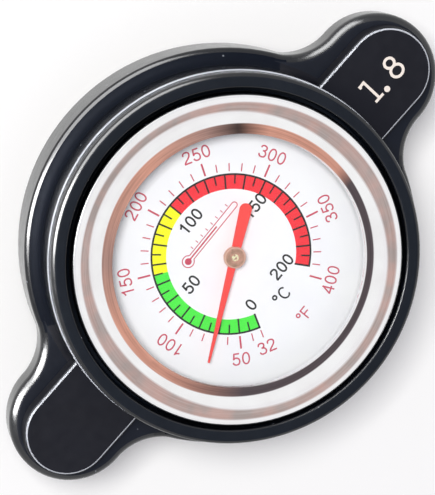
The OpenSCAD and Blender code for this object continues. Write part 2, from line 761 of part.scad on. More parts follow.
// Turned hub: a collar below the pointer, a sleeve through it and a cap above
module pointer_hub() {
    z0 = pointer_z - hub_collar_h;
    z1 = pointer_z + pointer_t;
    color("#c58f6a") rotate_extrude() polygon(concat(
        [[spindle_r, z0], [hub_collar_d / 2, z0], [hub_collar_d / 2, pointer_z]],
        [[hub_sleeve_d / 2, pointer_z], [hub_sleeve_d / 2, z1], [hub_d / 2, z1]],
        arc(hub_d / 2 - hub_round, hub_top - hub_round, hub_round, 0, 90, 4),
        [[0, hub_top], [0, z1 + hub_h / 2], [spindle_r, z1 + hub_h / 2]]
    ));
}

// Pressed cage with windows, and a lip at its mouth that holds the sliding cup
module valve_cage() {
    color("#d3d0c6") difference() {
        rotate_extrude() polygon(concat(
            [[fitting_hole_r, cage_top_z0], [fitting_hole_r, cage_top_z1]],
            arc(cage_r - press_round, cage_top_z1 - press_round, press_round, 90, 0, 4),
            [[cage_r, cage_bottom], [lip_r, cage_bottom], [lip_r, cage_bottom + cage_t]],
            [[cage_in_r, cage_bottom + cage_t], [cage_in_r, cage_top_z0]]
        ));
        for (i = [0:windows - 1])
            rotate([0, 0, (i + 0.5) * 360 / windows])
                translate([cup_in_r, -window_w / 2, -window_drop - window_h])
                    cube([cage_r, window_w, window_h]);
    }
}

module pressure_spring() {
    color("#b9bdc2") translate([0, 0, cup_floor_z1 + spring_wire / 2])
        coil(spring_r, spring_turns, spring_rise, spring_end_pitch, wire_section(spring_wire));
}

// Sliding cup: its flange hangs on the cage's lip, and the pressure spring stands on its floor
module valve_cup() {
    color("#d3d0c6") rotate_extrude() polygon(concat(
        [[shank_hole_r, cup_floor_z0]],
        arc(cup_r - press_round, cup_floor_z0 + press_round, press_round, -90, 0, 4),
        [[cup_r, flange_z0], [flange_r, flange_z0], [flange_r, flange_z0 + cage_t]],
        [[cup_in_r, flange_z0 + cage_t], [cup_in_r, cup_floor_z1], [shank_hole_r, cup_floor_z1]]
    ));
}

module pressure_plate() {
    color("#b9bdc2") ring(shank_hole_r, plate_r, seal_z1, plate_z1);
}

// Rubber ring: a thin inner land for the vacuum valve and a thick rim that seats in the neck
module pressure_seal() {
    low = -valve_depth;
    color("#1b1b1c") rotate_extrude() polygon([
        [shank_hole_r + seat_gap, seal_z1], [shank_hole_r + seat_gap, land_z],
        [seal_rim_r - seal_edge, land_z], [seal_rim_r, low], [seal_r - seal_edge, low],
        [seal_r, low + seal_edge], [seal_r, seal_z1]
    ]);
}

// Disc and tubular shank in one, with a groove inside for the sealing ring and one outside for
// the clip
module vacuum_valve() {
    ring_groove_r = ring_mid_r + ring_cord / 2 + groove_gap;
    half_groove = ring_cord / 2 + groove_gap;
    low = clip_z0 - groove_gap;
    high = clip_z1 + groove_gap;
    color("#c39a58") rotate_extrude() polygon([
        [shank_in_r, disc_z0], [vacuum_r, disc_z0], [vacuum_r, disc_z1],
        [shank_r, disc_z1], [shank_r, low], [clip_in_r, low], [clip_in_r, high], [shank_r, high],
        [shank_r, shank_top], [shank_in_r, shank_top], [shank_in_r, ring_z + half_groove],
        [ring_groove_r, ring_z + half_groove], [ring_groove_r, ring_z - half_groove],
        [shank_in_r, ring_z - half_groove]
    ]);
}

module shank_ring() {
    color("#262626") translate([0, 0, ring_z]) rotate_extrude()
        translate([ring_mid_r, 0]) circle(r = ring_cord / 2, $fn = 24);
}

module vacuum_clip() {
    color("#a8adb4") ring(clip_in_r + groove_gap, clip_r, clip_z0, clip_z1);
}

module vacuum_spring() {
    color("#b9bdc2") translate([0, 0, cup_floor_z1 + vacuum_wire / 2])
        coil(vacuum_spring_r, vacuum_turns, vacuum_rise, vacuum_end_pitch, wire_section(vacuum_wire));
}

cap_body();
neck_shell();
shell_rivets();
diaphragm();
neck_gasket();
gauge_case();
gauge_bezel();
gauge_glass();
glass_gasket();
dial_spacer();
dial_plate();
dial_support_ring();
stem_fitting();
stem_nut();
stem_tube();
stem_plug();
spindle_bearing();
spindle();
bimetal_coil();
coil_collar();
pointer();
pointer_hub();
valve_cage();
pressure_spring();
valve_cup();
pressure_plate();
pressure_seal();
vacuum_valve();
shank_ring();
vacuum_clip();
vacuum_spring();
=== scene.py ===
"""Looks of a radiator cap with a dial thermometer in its top, seen from above on a white table."""
import json
import math

import bmesh
import bpy
import numpy
from mathutils import Matrix, Vector
from mathutils.geometry import delaunay_2d_cdt

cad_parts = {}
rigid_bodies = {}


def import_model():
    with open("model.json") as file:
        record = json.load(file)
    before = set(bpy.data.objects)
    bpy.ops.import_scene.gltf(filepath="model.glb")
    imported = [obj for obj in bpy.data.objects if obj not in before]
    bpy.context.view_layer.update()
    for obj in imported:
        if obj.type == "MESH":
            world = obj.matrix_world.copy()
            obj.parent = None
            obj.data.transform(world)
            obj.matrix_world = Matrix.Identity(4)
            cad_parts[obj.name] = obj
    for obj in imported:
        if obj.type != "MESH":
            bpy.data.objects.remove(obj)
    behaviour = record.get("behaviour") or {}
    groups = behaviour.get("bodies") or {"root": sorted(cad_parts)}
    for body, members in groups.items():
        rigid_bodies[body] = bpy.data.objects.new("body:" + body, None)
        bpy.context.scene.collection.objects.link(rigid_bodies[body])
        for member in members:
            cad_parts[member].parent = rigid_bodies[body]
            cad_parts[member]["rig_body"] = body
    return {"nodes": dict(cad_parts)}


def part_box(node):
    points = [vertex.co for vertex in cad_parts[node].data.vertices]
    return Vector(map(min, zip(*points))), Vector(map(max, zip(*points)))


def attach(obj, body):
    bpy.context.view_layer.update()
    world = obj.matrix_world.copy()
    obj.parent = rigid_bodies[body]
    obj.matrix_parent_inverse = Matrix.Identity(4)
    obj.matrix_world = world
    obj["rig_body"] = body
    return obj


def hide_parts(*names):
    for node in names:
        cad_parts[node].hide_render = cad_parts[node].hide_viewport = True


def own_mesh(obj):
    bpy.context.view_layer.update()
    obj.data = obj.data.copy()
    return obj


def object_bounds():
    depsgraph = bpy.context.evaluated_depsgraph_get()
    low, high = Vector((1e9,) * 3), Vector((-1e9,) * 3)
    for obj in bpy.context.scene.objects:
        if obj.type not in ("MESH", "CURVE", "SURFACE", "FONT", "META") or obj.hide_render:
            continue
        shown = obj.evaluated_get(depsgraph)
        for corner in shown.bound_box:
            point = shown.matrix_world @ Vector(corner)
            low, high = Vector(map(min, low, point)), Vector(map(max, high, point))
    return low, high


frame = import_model()
cad_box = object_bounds()
nodes = frame["nodes"]
scene = bpy.context.scene
MM = 0.001

# Sizes taken from the frame, in millimetres
DIAL_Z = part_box("dial_plate")[1].z / MM
BEZEL_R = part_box("gauge_bezel")[1].x / MM
COVER_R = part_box("cap_body")[1].y / MM
CUP_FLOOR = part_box("pressure_spring")[0].z / MM
CAGE_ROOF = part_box("pressure_spring")[1].z / MM
CLIP_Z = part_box("vacuum_spring")[1].z / MM
FLOOR_Z = cad_box[0][2] / MM

# Heights on the cover that its box doesn't give
EAR_TOP = DIAL_Z - 3.8
PAD_TOP = EAR_TOP + 2.2
PAD_CHAMFER = 0.35
LEDGE_Z = DIAL_Z + 2.2
LEDGE = 0.3

# Places of the cover's finishes in its list of materials
COLLAR, PAD, BARE_AND_HIGHLIGHT, FLAT, EAR_FLAT, EAR_SIDE, SKIRT, HOLLOW = range(8)

# The dial's print: angles are measured from the dial's right-hand side
INK = 0.012
DIAL_TURN = 2.6
ZERO_C = 241
DEGREE_C = 1.5075
DEGREE_F = DEGREE_C / 1.8


def rgb(text):
    """A colour written as six hexadecimal digits, in linear light."""
    parts = [int(text[i:i + 2], 16) / 255 for i in (0, 2, 4)]
    return tuple(p / 12.92 if p <= 0.04045 else ((p + 0.055) / 1.055) ** 2.4 for p in parts) + (1,)


def dimmed(colour, share):
    """A colour with its light multiplied by share, which may be above 1."""
    return tuple(c * share for c in colour[:3]) + (1,)


class Surface:
    """A Principled material and short ways to add nodes to it."""

    def __init__(self, name, colour, metallic=0.0, roughness=0.4, **sockets):
        self.material = bpy.data.materials.new(name)
        self.material.use_nodes = True
        self.tree = self.material.node_tree
        self.shader = self.tree.nodes["Principled BSDF"]
        self.colour = colour
        self.set("Base Color", colour)
        self.set("Metallic", metallic)
        self.set("Roughness", roughness)
        for socket, value in sockets.items():
            self.set(socket.replace("_", " "), value)

    def set(self, socket, value):
        self.shader.inputs[socket].default_value = value

    def link(self, source, socket):
        self.tree.links.new(source, self.shader.inputs[socket])

    def add(self, kind, inputs=(), **settings):
        node = self.tree.nodes.new(kind)
        for key, value in settings.items():
            setattr(node, key, value)
        for key, value in dict(inputs).items():
            if isinstance(value, bpy.types.NodeSocket):
                self.tree.links.new(value, node.inputs[key])
            else:
                node.inputs[key].default_value = value
        return node

    def maths(self, operation, *values, clamp=False):
        return self.add("ShaderNodeMath", dict(enumerate(values)), operation=operation,
                        use_clamp=clamp).outputs[0]

    def place(self):
        """Where a point is in the part's frame, in metres."""
        return self.add("ShaderNodeTexCoord").outputs["Object"]

    def split(self, vector):
        return self.add("ShaderNodeSeparateXYZ", {0: vector}).outputs

    def noise(self, size_mm, detail=3, vector=None, roughness=0.5):
        """Noise whose spots are about size_mm across, from 0 to 1."""
        return self.add("ShaderNodeTexNoise", {
            "Vector": vector or self.place(), "Scale": 1 / (size_mm * MM), "Detail": detail,
            "Roughness": roughness,
        }).outputs["Fac"]

    def radius(self):
        """Distance from the part's axis, in metres."""
        x, y, _ = self.split(self.place())
        return self.maths("SQRT", self.maths("ADD", self.maths("MULTIPLY", x, x),
                                             self.maths("MULTIPLY", y, y)))

    def turned(self, width_mm):
        """Fine rings round the part's axis, as a lathe leaves them."""
        return self.add("ShaderNodeTexNoise", {
            "W": self.radius(), "Scale": 1 / (width_mm * MM), "Detail": 2,
        }, noise_dimensions="1D").outputs["Fac"]

    def remap(self, value, low, high, to_low=0.0, to_high=1.0, smooth=False):
        """low becomes to_low and high becomes to_high, with no value beyond these two."""
        return self.add("ShaderNodeMapRange", {
            "Value": value, "From Min": low, "From Max": high, "To Min": to_low, "To Max": to_high,
        }, interpolation_type="SMOOTHSTEP" if smooth else "LINEAR").outputs[0]

    def band(self, value, low, high, soft):
        """1 where value lies between low and high, 0 elsewhere."""
        rise = self.remap(value, low - soft, low + soft)
        fall = self.remap(value, high - soft, high + soft, 1.0, 0.0)
        return self.maths("MULTIPLY", rise, fall)

    def mix(self, factor, a, b):
        """Colour a where factor is 0, b where it is 1."""
        node = self.add("ShaderNodeMix", {0: factor, 6: a, 7: b}, data_type="RGBA")
        return node.outputs[2]

    def tint(self, amount, size_mm, other):
        """The base colour drifts a little towards another colour."""
        share = self.remap(self.noise(size_mm), 0.3, 0.7, 0.0, amount)
        self.link(self.mix(share, self.colour, other), "Base Color")

    def rough(self, value, low, high):
        """Roughness from low to high, as a noise goes through its middle range."""
        self.link(self.remap(value, 0.3, 0.7, low, high), "Roughness")

    def bump(self, height, depth_mm, strength=1.0, round_mm=0):
        """A fine relief, on edges that look rounded by round_mm."""
        node = self.add("ShaderNodeBump", {
            "Height": height, "Distance": depth_mm * MM, "Strength": strength,
        })
        if round_mm:
            edges = self.add("ShaderNodeBevel", {"Radius": round_mm * MM}, samples=8)
            self.tree.links.new(edges.outputs[0], node.inputs["Normal"])
        self.link(node.outputs[0], "Normal")


def specks(s, spread_mm, size_mm, share):
    """Small dust specks, about spread_mm apart, on a share of the places."""
    cells = s.add("ShaderNodeTexVoronoi", {"Vector": s.place(), "Scale": 1 / (spread_mm * MM)})
    near = s.remap(cells.outputs["Distance"], 0.6 * size_mm / spread_mm, size_mm / spread_mm, 1.0, 0.0)
    chosen = s.maths("LESS_THAN", s.split(cells.outputs["Color"])[0], share)
    return s.maths("MULTIPLY", near, chosen)


def black_surface(name, colour, low, high, specular, dust, round_mm=0):
    """Black anodised aluminium with fine grain and a little dust."""
    s = Surface(name, colour, roughness=0.3, Specular_IOR_Level=specular)
    dusty = s.mix(s.maths("MULTIPLY", specks(s, 2.6, 0.16, dust), 0.7), s.colour, rgb("aeb4bd"))
    cloud = s.remap(s.noise(6), 0.35, 0.75, 0.0, 0.35)
    s.link(s.mix(cloud, dusty, dimmed(colour, 1.5)), "Base Color")
    s.rough(s.noise(1.4), low, high)
    s.bump(s.noise(0.4, detail=2), 0.001, round_mm=round_mm)
    return s.material


def edge_surface():
    """Bare aluminium where the tool cut through the black, made a matt light grey that also stands in as
    the painted highlight of these edges: the pads' chamfers and the ledge.
    """
    s = Surface("bare_edge_and_highlight", rgb("d0d4dc"), roughness=0.4, Specular_IOR_Level=0.1)
    height = s.split(s.place())[2]
    fade = 0.03 * MM
    pads = s.band(height, (PAD_TOP - 0.21) * MM, (PAD_TOP - 0.02) * MM, fade)
    ledge = s.band(height, (LEDGE_Z + 0.09) * MM, (LEDGE_Z + 0.26) * MM, fade)
    bare_and_highlight = s.maths("ADD", pads, ledge)
    metal = s.mix(s.remap(s.noise(5), 0.3, 0.7, 0.0, 0.5), s.colour, rgb("a6aab2"))
    s.link(s.mix(bare_and_highlight, rgb("0a0d14"), metal), "Base Color")
    s.rough(s.noise(1.5), 0.36, 0.46)
    s.bump(s.noise(0.5), 0.0005)
    return s.material


def lip_tones(s, turn):
    """Four tones of the lip's copper-toned metal with painted reflections on it, placed round the bezel's
    lip by angle in degrees.
    """
    bright, dull, reflected_dark, black = rgb("e2a894"), rgb("b8948a"), rgb("62585c"), rgb("4a3e3c")
    tones = ((-175, bright), (-136, reflected_dark), (-14, reflected_dark), (-5, bright), (30, bright),
             (43, black), (58, dull), (86, bright), (131, dull), (160, bright))
    ramp = s.add("ShaderNodeValToRGB", {"Fac": s.remap(turn, -math.pi, math.pi)})
    stops = ramp.color_ramp.elements
    for degrees, tone in tones:
        stops.new((degrees + 180) / 360).color = tone
    stops.remove(stops[0])
    stops.remove(stops[-1])
    return ramp.outputs["Color"]


def bezel_surface():
    """Polished steel: its inner slope carries a painted warm reflection band, and the lip is copper-toned
    with painted bright and dark reflections.
    """
    lip_from, lip_to = BEZEL_R - 5.3, BEZEL_R - 3.95
    slope_from, slope_to = BEZEL_R - 2.1, BEZEL_R - 1.15
    s = Surface("polished_bezel", rgb("f4f4f5"), metallic=1.0, roughness=0.12)
    x, y, _ = s.split(s.place())
    radius = s.radius()
    turn = s.maths("ARCTAN2", y, x)
    streaks = s.add("ShaderNodeTexNoise", {
        "Vector": s.add("ShaderNodeCombineXYZ", {
            0: s.maths("MULTIPLY", turn, 2.0), 1: s.maths("MULTIPLY", radius, 7000)}).outputs[0],
        "Scale": 1.0, "Detail": 3,
    }).outputs["Fac"]

    # The slope's painted reflection, a warm band, is widest towards the ears
    sides = s.maths("POWER", s.maths("ABSOLUTE", s.maths("COSINE", turn)), 4)
    inner = s.maths("ADD", s.maths("MULTIPLY", sides, -0.8 * MM), slope_from * MM)
    rise = s.remap(s.maths("SUBTRACT", radius, inner), -0.2 * MM, 0.2 * MM, smooth=True)
    fall = s.remap(radius, (slope_to - 0.13) * MM, (slope_to + 0.13) * MM, 1.0, 0.0, smooth=True)
    slope_reflection = s.maths("MULTIPLY", s.maths("MULTIPLY", rise, fall), s.remap(streaks, 0.2, 0.6, 0.75, 1.0))
    reflected_warm_tone = s.mix(s.remap(s.noise(3), 0.35, 0.65), rgb("c4a39b"), rgb("aa9c98"))
    face = s.mix(s.remap(s.noise(4), 0.35, 0.7, 0.0, 0.25), s.colour, rgb("d9d4d4"))
    toned = s.mix(slope_reflection, face, reflected_warm_tone)

    # A bare rim inside the lip is widest at 50 degrees clockwise from the right-hand ear
    side = s.maths("MAXIMUM", s.maths("COSINE", s.maths("ADD", turn, math.radians(50))), 0.0)
    rim = s.maths("MULTIPLY", side, 0.3 * MM)
    fade = 0.06 * MM
    lip = s.band(s.maths("SUBTRACT", radius, rim), lip_from * MM, 1.0, fade)
    lip = s.maths("MULTIPLY", lip, s.band(radius, 0.0, lip_to * MM, fade))
    # Painted reflections: the lip's copper tone turns bright or dark by angle, with dark streaks along
    # the ring
    tone = lip_tones(s, turn)
    lip_reflection_streaks = s.mix(s.remap(streaks, 0.42, 0.68), tone, s.mix(0.3, tone, rgb("2a2526")))
    s.link(s.mix(lip, toned, lip_reflection_streaks), "Base Color")

    polish = s.remap(s.noise(1.2), 0.3, 0.7, 0.08, 0.16)
    dull = s.maths("MULTIPLY", s.maths("MAXIMUM", lip, slope_reflection), 0.32)
    s.link(s.maths("ADD", polish, dull), "Roughness")
    s.bump(s.turned(0.25), 0.0006)
    return s.material


def turned_metal(name, colour, low, high):
    """Steel or brass with the fine rings of a lathe; low and high are its roughness."""
    s = Surface(name, colour, metallic=1.0, roughness=0.3)
    s.tint(0.35, 3.0, dimmed(colour, 0.8))
    s.rough(s.noise(0.8), low, high)
    s.bump(s.turned(0.12), 0.002)
    return s.material


def hub_surface():
    """Rosy brass, mottled, with a painted highlight as a lighter rim all round, and shiny spots on the
    spindle's end.
    """
    s = Surface("hub_copper", rgb("d8a28e"), metallic=1.0, roughness=0.3)
    radius = s.radius()
    mottled = s.mix(s.remap(s.noise(0.7), 0.35, 0.65), s.colour, rgb("a8856f"))
    # Painted highlight: the outer rim of the hub is made lighter
    rim = s.remap(radius, 1.15 * MM, 1.3 * MM)
    rim_highlighted = s.mix(rim, mottled, rgb("eebfac"))
    middle = s.remap(radius, 0.4 * MM, 0.5 * MM, 1.0, 0.0)
    spots = s.maths("MULTIPLY", middle, s.remap(s.noise(0.3), 0.42, 0.52))
    s.link(s.mix(spots, rim_highlighted, rgb("fff6cc")), "Base Color")
    s.rough(s.noise(0.4), 0.25, 0.45)
    s.bump(s.turned(0.15), 0.003)
    return s.material


def rubber_surface():
    """Matt black rubber, a little cloudy."""
    s = Surface("rubber", rgb("1c1c1d"), roughness=0.6)
    s.tint(0.5, 1.5, rgb("2a2a2b"))
    s.rough(s.noise(0.5), 0.5, 0.7)
    s.bump(s.noise(0.12), 0.008)
    return s.material


def dial_surface():
    """White lacquer with a faint cool tone."""
    s = Surface("dial_white", rgb("fcfbfd"), roughness=0.35)
    s.tint(0.5, 5.0, rgb("f4f2fa"))
    s.rough(s.noise(1.5), 0.3, 0.42)
    s.bump(s.noise(0.3), 0.001)
    return s.material


def ink_surface(name, colour, roughness=0.5):
    """Ink or paint that varies a little in strength."""
    s = Surface(name, colour, roughness=roughness, Specular_IOR_Level=0.2)
    s.tint(0.25, 0.6, dimmed(colour, 0.85))
    s.bump(s.noise(0.15), 0.001)
    return s.material


def glass_surface():
    """Flat clear glass: sight and light go straight through, and it mirrors more at a slant."""
    s = Surface("gauge_glass", rgb("ffffff"), metallic=1.0, roughness=0.02)
    s.rough(s.noise(6), 0.015, 0.03)
    slant = s.add("ShaderNodeLayerWeight", {"Blend": 0.5}).outputs["Facing"]
    share = s.maths("ADD", s.maths("MULTIPLY", s.maths("POWER", slant, 4), 0.6), 0.02)
    through = s.add("ShaderNodeBsdfTransparent", {"Color": rgb("fdfefe")})
    mix = s.add("ShaderNodeMixShader", {0: share, 1: through.outputs[0], 2: s.shader.outputs[0]})
    output = s.tree.nodes["Material Output"]
    s.tree.links.new(mix.outputs[0], output.inputs["Surface"])
    return s.material


def paint(node, material):
    """Gives a CAD node one material."""
    slots = nodes[node].data.materials
    slots.clear()
    slots.append(material)


def make_piece(name, vertices, faces, material, body, smooth=False):
    """A mesh in millimetres, placed in the part's frame and riding on a body."""
    mesh = bpy.data.meshes.new(name)
    mesh.from_pydata([Vector(v) * MM for v in vertices], [], faces)
    mesh.validate()
    mesh.update()
    if smooth:
        mesh.shade_smooth()
    mesh.materials.append(material)
    piece = bpy.data.objects.new(name, mesh)
    scene.collection.objects.link(piece)
    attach(piece, body)
    return piece


def smooth_copy(name, node, materials, sharp_degrees, choose=None):
    """The CAD node's own shape, with its narrow facets shaded as one smooth surface.

    choose gives a face's place in the list of materials from the face itself."""
    mesh = nodes[node].data.copy()
    mesh.name = name
    work = bmesh.new()
    work.from_mesh(mesh)
    bmesh.ops.remove_doubles(work, verts=work.verts, dist=1e-7)
    work.to_mesh(mesh)
    work.free()
    if "custom_normal" in mesh.attributes:
        mesh.attributes.remove(mesh.attributes["custom_normal"])
    mesh.shade_smooth()
    mesh.set_sharp_from_angle(angle=math.radians(sharp_degrees))
    mesh.materials.clear()
    for material in materials:
        mesh.materials.append(material)
    for face in mesh.polygons:
        face.material_index = choose(face) if choose else 0
    piece = bpy.data.objects.new(name, mesh)
    scene.collection.objects.link(piece)
    even = piece.modifiers.new("flat_faces_stay_flat", "WEIGHTED_NORMAL")
    even.keep_sharp = True
    even.mode = "FACE_AREA"
    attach(piece, nodes[node]["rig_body"])
    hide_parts(node)
    return piece


def cover_finish(face):
    """Which finish a face of the cover has, told from its place and slope."""
    height = face.center.z / MM
    radius = face.center.xy.length / MM
    up = face.normal.z
    slack = 0.02
    on_chamfer = PAD_TOP - PAD_CHAMFER - slack < height < PAD_TOP + slack
    on_ledge = LEDGE_Z - slack < height < LEDGE_Z + LEDGE + slack
    if up > 0.99:
        return PAD if on_chamfer else EAR_FLAT if height < EAR_TOP + slack else FLAT
    # Chamfers and the ledge get the light grey band: bare metal and a painted edge highlight
    if 0.5 < up < 0.95 and (on_chamfer or on_ledge):
        return BARE_AND_HIGHLIGHT
    if height > LEDGE_Z:
        return COLLAR
    if EAR_TOP < height < PAD_TOP and abs(face.center.x) > abs(face.center.y) * 2:
        return PAD
    if radius > COVER_R + 0.1:
        return EAR_SIDE
    in_hollow = EAR_TOP - 0.3 < height < EAR_TOP + 1.7 and radius < COVER_R - 0.56
    return HOLLOW if in_hollow else SKIRT


def smooth_path(points, steps=6):
    """Points on a smooth curve through the given ones."""
    out = []
    last = len(points) - 1
    for i in range(last):
        p0, p1, p2, p3 = (Vector(points[min(max(i + k, 0), last)]) for k in (-1, 0, 1, 2))
        for k in range(steps):
            t = k / steps
            out.append((2 * p1 + (p2 - p0) * t + (2 * p0 - 5 * p1 + 4 * p2 - p3) * t ** 2
                        + (3 * p1 - p0 - 3 * p2 + p3) * t ** 3) / 2)
    out.append(Vector(points[last]))
    return out


def oval(x, y, rx, ry, start=0, end=360, square=0.92, steps=40):
    """Points on an oval; square below 1 makes its corners fuller."""
    out = []
    for i in range(steps + 1):
        a = math.radians(start + (end - start) * i / steps)
        c, s = math.cos(a), math.sin(a)
        out.append((x + rx * math.copysign(abs(c) ** square, c),
                    y + ry * math.copysign(abs(s) ** square, s)))
    return out


# Middle lines of the figures, in heights of a figure
GLYPHS = {
    "0": [oval(0.32, 0.5, 0.258, 0.438)],
    "1": [[(0.4, 0), (0.4, 1)],
          smooth_path([(0.42, 0.96), (0.33, 0.84), (0.22, 0.76), (0.1, 0.71)])],
    "2": [smooth_path([(0.07, 0.7), (0.1, 0.84), (0.19, 0.92), (0.32, 0.938), (0.46, 0.91),
                       (0.55, 0.82), (0.565, 0.71), (0.52, 0.58), (0.4, 0.44), (0.22, 0.28),
                       (0.11, 0.16), (0.06, 0.06)]), [(0.02, 0.063), (0.62, 0.063)]],
    "3": [smooth_path([(0.065, 0.74), (0.11, 0.87), (0.2, 0.93), (0.31, 0.938), (0.43, 0.91),
                       (0.51, 0.82), (0.515, 0.72), (0.47, 0.61), (0.38, 0.555), (0.26, 0.54)]),
          smooth_path([(0.3, 0.54), (0.43, 0.52), (0.54, 0.42), (0.575, 0.3), (0.545, 0.17),
                       (0.44, 0.08), (0.31, 0.062), (0.18, 0.08), (0.09, 0.16), (0.055, 0.27)])],
    "4": [[(0.46, 0), (0.46, 1)], [(0.49, 0.97), (0.04, 0.29)], [(0, 0.29), (0.64, 0.29)]],
    "5": [[(0.57, 0.938), (0.17, 0.938), (0.1, 0.47)],
          smooth_path([(0.1, 0.49), (0.2, 0.585), (0.32, 0.61), (0.45, 0.57), (0.55, 0.46),
                       (0.575, 0.33), (0.545, 0.19), (0.45, 0.09), (0.31, 0.062), (0.18, 0.085),
                       (0.09, 0.16), (0.055, 0.26)])],
    "8": [oval(0.32, 0.735, 0.2, 0.2, square=1), oval(0.32, 0.3, 0.255, 0.238, square=1)],
    "C": [oval(0.4, 0.5, 0.33, 0.438, 38, 322, square=0.97)],
    "F": [[(0.063, 0), (0.063, 1)], [(0.02, 0.938), (0.62, 0.938)], [(0.02, 0.52), (0.55, 0.52)]],
    "o": [oval(0.17, 0.82, 0.15, 0.15, square=1, steps=20)],
    "slab_1": [[(0.32, 0.02), (0.32, 1)], [(0.09, 0.045), (0.54, 0.045)],
               [(0.34, 0.955), (0.08, 0.93)], [(0.085, 0.99), (0.085, 0.84)]],
}
ADVANCE = {"o": 0.5, "C": 0.85, "F": 0.7}


class Print:
    """Flat ink on a face: four-sided areas are gathered and joined without overlaps."""

    def __init__(self):
        self.outlines = []

    def area(self, points):
        self.outlines.append([Vector(p[:2]) for p in points])

    def line(self, points, width, place=lambda p: p):
        """A line of one width with square ends, as one quadrilateral for each step."""
        points = [Vector(p[:2]) for p in points]
        closed = (points[0] - points[-1]).length < 1e-6
        sides = []
        for i, p in enumerate(points):
            before = points[i - 1] if i else (points[-2] if closed else None)
            after = points[i + 1] if i + 1 < len(points) else (points[1] if closed else None)
            steps = [(b - a).normalized() for a, b in ((before, p), (p, after))
                     if a is not None and b is not None and (b - a).length > 1e-9]
            along = sum(steps, Vector((0, 0)))
            along.normalize()
            across = Vector((-along.y, along.x))
            spread = width / 2 / max(0.5, abs(across.dot(Vector((-steps[0].y, steps[0].x)))))
            sides.append((p + across * spread, p - across * spread))
        for (a, b), (c, d) in zip(sides, sides[1:]):
            self.area([place(a), place(b), place(d), place(c)])

    def disc(self, x, y, radius, parts=12):
        step = math.pi / parts
        rim = [(x + radius * math.cos(k * step), y + radius * math.sin(k * step))
               for k in range(2 * parts + 1)]
        for k in range(0, 2 * parts, 2):
            self.area([(x, y), rim[k], rim[k + 1], rim[k + 2]])

    def ring_part(self, r0, r1, start, end, step=2.0):
        """Part of a ring, from one angle to another."""
        count = max(1, math.ceil(abs(end - start) / step))
        angles = [math.radians(start + (end - start) * i / count) for i in range(count + 1)]
        for a, b in zip(angles, angles[1:]):
            self.area([(r * math.cos(t), r * math.sin(t)) for r, t in
                       ((r0, a), (r1, a), (r1, b), (r0, b))])

    def tick(self, angle, r0, r1, width):
        a = math.radians(angle)
        along = Vector((math.cos(a), math.sin(a)))
        self.line([along * r0, along * r1], width)

    def text(self, glyphs, centre, height, turn, weight, narrow=1.0, gap=0.775):
        """Figures in a row, centred on a point and turned; weight is the width of their lines."""
        widths = [ADVANCE.get(g, gap) for g in glyphs]
        total = sum(widths) - (gap - 0.64)
        spin = Matrix.Rotation(math.radians(turn), 2)
        x = -total / 2
        for glyph, step in zip(glyphs, widths):
            def place(p, x=x):
                return Vector(centre) + spin @ Vector(((x + p.x) * narrow, p.y - 0.5)) * height
            for points in GLYPHS[glyph]:
                self.line(points, weight / height, place)
            x += step

    def build(self, name, z, material, turn=0.0):
        """One thin piece from all areas, at a height in millimetres."""
        spin = Matrix.Rotation(math.radians(turn), 2)
        points = []
        outlines = []
        for outline in self.outlines:
            area = sum(a.x * b.y - b.x * a.y for a, b in zip(outline, outline[1:] + outline[:1]))
            if abs(area) < 1e-9:
                continue
            corners = outline if area > 0 else outline[::-1]
            outlines.append(list(range(len(points), len(points) + 4)))
            points += [spin @ p for p in corners]
        flat, _, faces, _, _, _ = delaunay_2d_cdt(points, [], outlines, 1, 1e-5)
        quads = numpy.array([[points[i][:] for i in outline] for outline in outlines])
        sides = numpy.roll(quads, -1, axis=1) - quads
        inked = []
        for face in faces:
            middle = sum((Vector(flat[i]) for i in face), Vector((0, 0))) / len(face)
            reach = numpy.array(middle[:]) - quads
            left_of = sides[:, :, 0] * reach[:, :, 1] - sides[:, :, 1] * reach[:, :, 0]
            if (left_of > 0).all(axis=1).any():
                inked.append(face)
        piece = make_piece(name, [(p.x, p.y, z) for p in flat], inked, material, "cap")
        solid = piece.modifiers.new("ink_thickness", "SOLIDIFY")
        solid.thickness = INK * MM
        solid.offset = 1 if piece.data.polygons[0].normal.z > 0 else -1
        return piece


def celsius(value):
    """Angle of a temperature on the inner scale."""
    return ZERO_C - DEGREE_C * value


def fahrenheit(value):
    """Angle of a temperature on the outer scale."""
    return ZERO_C - DEGREE_F * (value - 32)


